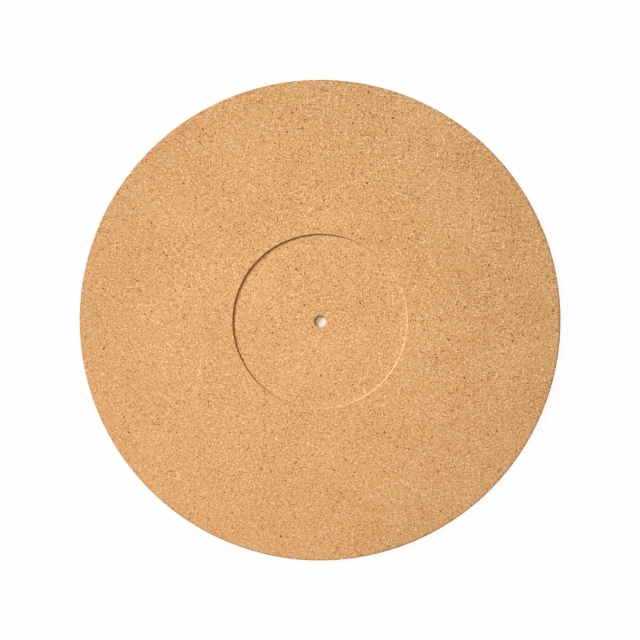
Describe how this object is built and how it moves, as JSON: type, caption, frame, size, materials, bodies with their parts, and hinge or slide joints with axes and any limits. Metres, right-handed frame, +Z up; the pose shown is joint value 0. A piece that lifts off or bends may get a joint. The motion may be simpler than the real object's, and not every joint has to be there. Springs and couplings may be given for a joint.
{
  "type": "turntable platter mat",
  "caption": "Thin round mat of agglomerated cork that lies on a turntable's platter under the record, with a spindle hole and a shallow round recess for the record's label.",
  "frame": {"origin": "on the spindle axis, in the underside that lies on the platter", "axes": "+Z up along the spindle, out of the playing side with the label recess; X and Y in the plane of the mat, which is the same all round"},
  "size_m": [0.3, 0.3, 0.003],
  "materials": {
    "cork": "matt sanded agglomerated cork, fine light and dark granules"
  },
  "bodies": {
    "root": {"platter_mat": "cork"}
  },
  "joints": []
}
